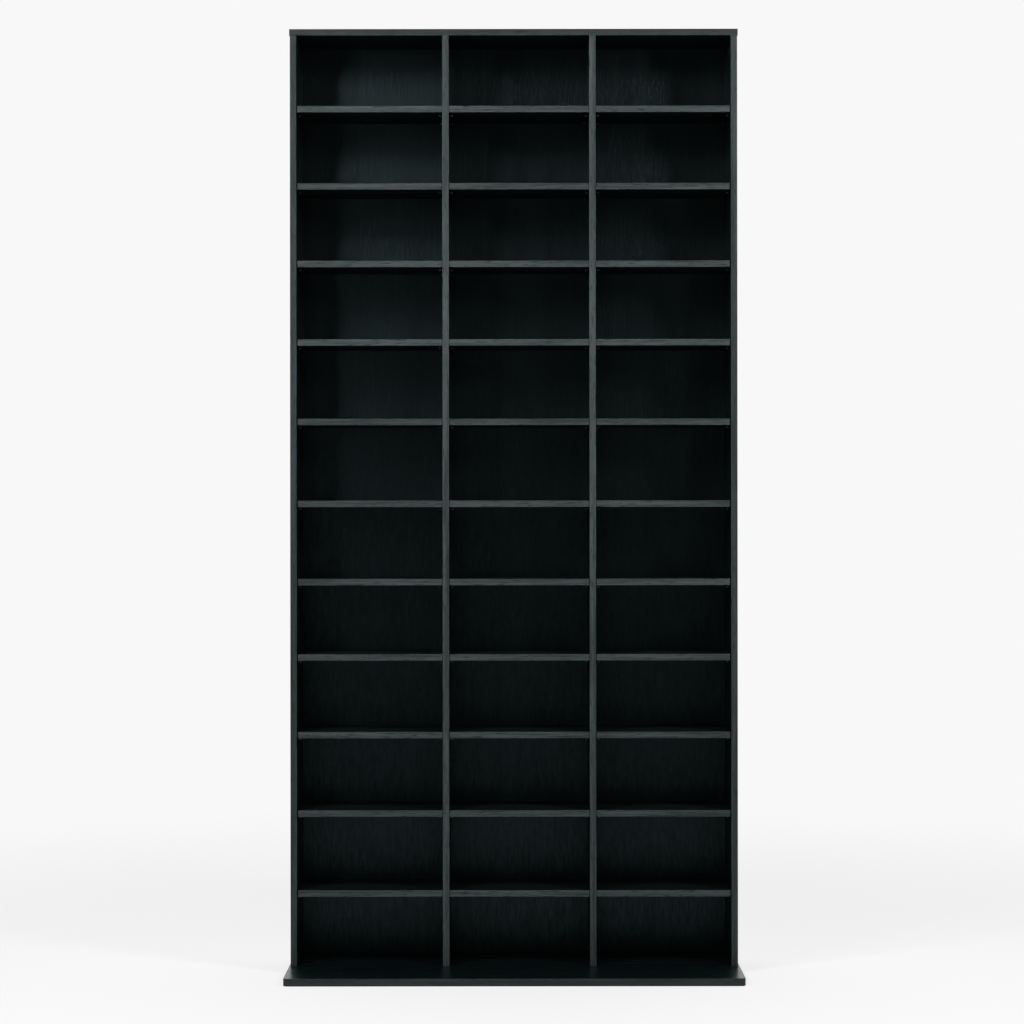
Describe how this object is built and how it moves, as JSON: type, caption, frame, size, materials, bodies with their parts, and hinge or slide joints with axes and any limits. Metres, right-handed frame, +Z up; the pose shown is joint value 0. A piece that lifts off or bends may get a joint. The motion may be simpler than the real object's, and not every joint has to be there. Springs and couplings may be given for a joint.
{
  "type": "disc storage tower",
  "caption": "Tall shallow open-fronted storage tower for disc cases, with columns of loose shelves on pins, thin backs and a base board that stands well out in front.",
  "frame": {"origin": "centre of the base board's underside", "axes": "+Z up along the panels, -Y out of the open front, +X to the right as seen from the front"},
  "size_m": [0.834, 0.3, 1.748],
  "materials": {
    "black_ash_foil": "satin black ash-effect foil on particleboard",
    "black_hardboard": "satin black ash-effect print on thin hardboard",
    "zinc_casting": "die-cast zinc, bright",
    "zinc_plated_steel": "zinc-plated steel"
  },
  "bodies": {
    "carcass": {"base_board": "black_ash_foil", "top_board": "black_ash_foil", "side_left": "black_ash_foil", "divider_left": "black_ash_foil", "divider_right": "black_ash_foil", "side_right": "black_ash_foil", "back_left": "black_hardboard", "back_middle": "black_hardboard", "back_right": "black_hardboard", "cam_fitting_side_left_front": "zinc_casting", "cam_fitting_side_left_rear": "zinc_casting", "cam_fitting_divider_left_front": "zinc_casting", "cam_fitting_divider_left_rear": "zinc_casting", "cam_fitting_divider_right_front": "zinc_casting", "cam_fitting_divider_right_rear": "zinc_casting", "cam_fitting_side_right_front": "zinc_casting", "cam_fitting_side_right_rear": "zinc_casting", "base_screw_side_left_front": "zinc_plated_steel", "base_screw_side_left_rear": "zinc_plated_steel", "base_screw_divider_left_front": "zinc_plated_steel", "base_screw_divider_left_rear": "zinc_plated_steel", "base_screw_divider_right_front": "zinc_plated_steel", "base_screw_divider_right_rear": "zinc_plated_steel", "base_screw_side_right_front": "zinc_plated_steel", "base_screw_side_right_rear": "zinc_plated_steel"},
    "shelf_left_01": {"shelf_left_01": "black_ash_foil"},
    "shelf_left_02": {"shelf_left_02": "black_ash_foil"},
    "shelf_left_03": {"shelf_left_03": "black_ash_foil"},
    "shelf_left_04": {"shelf_left_04": "black_ash_foil"},
    "shelf_left_05": {"shelf_left_05": "black_ash_foil"},
    "shelf_left_06": {"shelf_left_06": "black_ash_foil"},
    "shelf_left_07": {"shelf_left_07": "black_ash_foil"},
    "shelf_left_08": {"shelf_left_08": "black_ash_foil"},
    "shelf_left_09": {"shelf_left_09": "black_ash_foil"},
    "shelf_left_10": {"shelf_left_10": "black_ash_foil"},
    "shelf_left_11": {"shelf_left_11": "black_ash_foil"},
    "shelf_middle_01": {"shelf_middle_01": "black_ash_foil"},
    "shelf_middle_02": {"shelf_middle_02": "black_ash_foil"},
    "shelf_middle_03": {"shelf_middle_03": "black_ash_foil"},
    "shelf_middle_04": {"shelf_middle_04": "black_ash_foil"},
    "shelf_middle_05": {"shelf_middle_05": "black_ash_foil"},
    "shelf_middle_06": {"shelf_middle_06": "black_ash_foil"},
    "shelf_middle_07": {"shelf_middle_07": "black_ash_foil"},
    "shelf_middle_08": {"shelf_middle_08": "black_ash_foil"},
    "shelf_middle_09": {"shelf_middle_09": "black_ash_foil"},
    "shelf_middle_10": {"shelf_middle_10": "black_ash_foil"},
    "shelf_middle_11": {"shelf_middle_11": "black_ash_foil"},
    "shelf_right_01": {"shelf_right_01": "black_ash_foil"},
    "shelf_right_02": {"shelf_right_02": "black_ash_foil"},
    "shelf_right_03": {"shelf_right_03": "black_ash_foil"},
    "shelf_right_04": {"shelf_right_04": "black_ash_foil"},
    "shelf_right_05": {"shelf_right_05": "black_ash_foil"},
    "shelf_right_06": {"shelf_right_06": "black_ash_foil"},
    "shelf_right_07": {"shelf_right_07": "black_ash_foil"},
    "shelf_right_08": {"shelf_right_08": "black_ash_foil"},
    "shelf_right_09": {"shelf_right_09": "black_ash_foil"},
    "shelf_right_10": {"shelf_right_10": "black_ash_foil"},
    "shelf_right_11": {"shelf_right_11": "black_ash_foil"}
  },
  "joints": [
    {"name": "shelf_left_01_draw", "type": "slide", "parent": "carcass", "child": "shelf_left_01", "axis": [0, -1, 0], "range_m": [0, 0.18]},
    {"name": "shelf_left_02_draw", "type": "slide", "parent": "carcass", "child": "shelf_left_02", "axis": [0, -1, 0], "range_m": [0, 0.18]},
    {"name": "shelf_left_03_draw", "type": "slide", "parent": "carcass", "child": "shelf_left_03", "axis": [0, -1, 0], "range_m": [0, 0.18]},
    {"name": "shelf_left_04_draw", "type": "slide", "parent": "carcass", "child": "shelf_left_04", "axis": [0, -1, 0], "range_m": [0, 0.18]},
    {"name": "shelf_left_05_draw", "type": "slide", "parent": "carcass", "child": "shelf_left_05", "axis": [0, -1, 0], "range_m": [0, 0.18]},
    {"name": "shelf_left_06_draw", "type": "slide", "parent": "carcass", "child": "shelf_left_06", "axis": [0, -1, 0], "range_m": [0, 0.18]},
    {"name": "shelf_left_07_draw", "type": "slide", "parent": "carcass", "child": "shelf_left_07", "axis": [0, -1, 0], "range_m": [0, 0.18]},
    {"name": "shelf_left_08_draw", "type": "slide", "parent": "carcass", "child": "shelf_left_08", "axis": [0, -1, 0], "range_m": [0, 0.18]},
    {"name": "shelf_left_09_draw", "type": "slide", "parent": "carcass", "child": "shelf_left_09", "axis": [0, -1, 0], "range_m": [0, 0.18]},
    {"name": "shelf_left_10_draw", "type": "slide", "parent": "carcass", "child": "shelf_left_10", "axis": [0, -1, 0], "range_m": [0, 0.18]},
    {"name": "shelf_left_11_draw", "type": "slide", "parent": "carcass", "child": "shelf_left_11", "axis": [0, -1, 0], "range_m": [0, 0.18]},
    {"name": "shelf_middle_01_draw", "type": "slide", "parent": "carcass", "child": "shelf_middle_01", "axis": [0, -1, 0], "range_m": [0, 0.18]},
    {"name": "shelf_middle_02_draw", "type": "slide", "parent": "carcass", "child": "shelf_middle_02", "axis": [0, -1, 0], "range_m": [0, 0.18]},
    {"name": "shelf_middle_03_draw", "type": "slide", "parent": "carcass", "child": "shelf_middle_03", "axis": [0, -1, 0], "range_m": [0, 0.18]},
    {"name": "shelf_middle_04_draw", "type": "slide", "parent": "carcass", "child": "shelf_middle_04", "axis": [0, -1, 0], "range_m": [0, 0.18]},
    {"name": "shelf_middle_05_draw", "type": "slide", "parent": "carcass", "child": "shelf_middle_05", "axis": [0, -1, 0], "range_m": [0, 0.18]},
    {"name": "shelf_middle_06_draw", "type": "slide", "parent": "carcass", "child": "shelf_middle_06", "axis": [0, -1, 0], "range_m": [0, 0.18]},
    {"name": "shelf_middle_07_draw", "type": "slide", "parent": "carcass", "child": "shelf_middle_07", "axis": [0, -1, 0], "range_m": [0, 0.18]},
    {"name": "shelf_middle_08_draw", "type": "slide", "parent": "carcass", "child": "shelf_middle_08", "axis": [0, -1, 0], "range_m": [0, 0.18]},
    {"name": "shelf_middle_09_draw", "type": "slide", "parent": "carcass", "child": "shelf_middle_09", "axis": [0, -1, 0], "range_m": [0, 0.18]},
    {"name": "shelf_middle_10_draw", "type": "slide", "parent": "carcass", "child": "shelf_middle_10", "axis": [0, -1, 0], "range_m": [0, 0.18]},
    {"name": "shelf_middle_11_draw", "type": "slide", "parent": "carcass", "child": "shelf_middle_11", "axis": [0, -1, 0], "range_m": [0, 0.18]},
    {"name": "shelf_right_01_draw", "type": "slide", "parent": "carcass", "child": "shelf_right_01", "axis": [0, -1, 0], "range_m": [0, 0.18]},
    {"name": "shelf_right_02_draw", "type": "slide", "parent": "carcass", "child": "shelf_right_02", "axis": [0, -1, 0], "range_m": [0, 0.18]},
    {"name": "shelf_right_03_draw", "type": "slide", "parent": "carcass", "child": "shelf_right_03", "axis": [0, -1, 0], "range_m": [0, 0.18]},
    {"name": "shelf_right_04_draw", "type": "slide", "parent": "carcass", "child": "shelf_right_04", "axis": [0, -1, 0], "range_m": [0, 0.18]},
    {"name": "shelf_right_05_draw", "type": "slide", "parent": "carcass", "child": "shelf_right_05", "axis": [0, -1, 0], "range_m": [0, 0.18]},
    {"name": "shelf_right_06_draw", "type": "slide", "parent": "carcass", "child": "shelf_right_06", "axis": [0, -1, 0], "range_m": [0, 0.18]},
    {"name": "shelf_right_07_draw", "type": "slide", "parent": "carcass", "child": "shelf_right_07", "axis": [0, -1, 0], "range_m": [0, 0.18]},
    {"name": "shelf_right_08_draw", "type": "slide", "parent": "carcass", "child": "shelf_right_08", "axis": [0, -1, 0], "range_m": [0, 0.18]},
    {"name": "shelf_right_09_draw", "type": "slide", "parent": "carcass", "child": "shelf_right_09", "axis": [0, -1, 0], "range_m": [0, 0.18]},
    {"name": "shelf_right_10_draw", "type": "slide", "parent": "carcass", "child": "shelf_right_10", "axis": [0, -1, 0], "range_m": [0, 0.18]},
    {"name": "shelf_right_11_draw", "type": "slide", "parent": "carcass", "child": "shelf_right_11", "axis": [0, -1, 0], "range_m": [0, 0.18]}
  ]
}
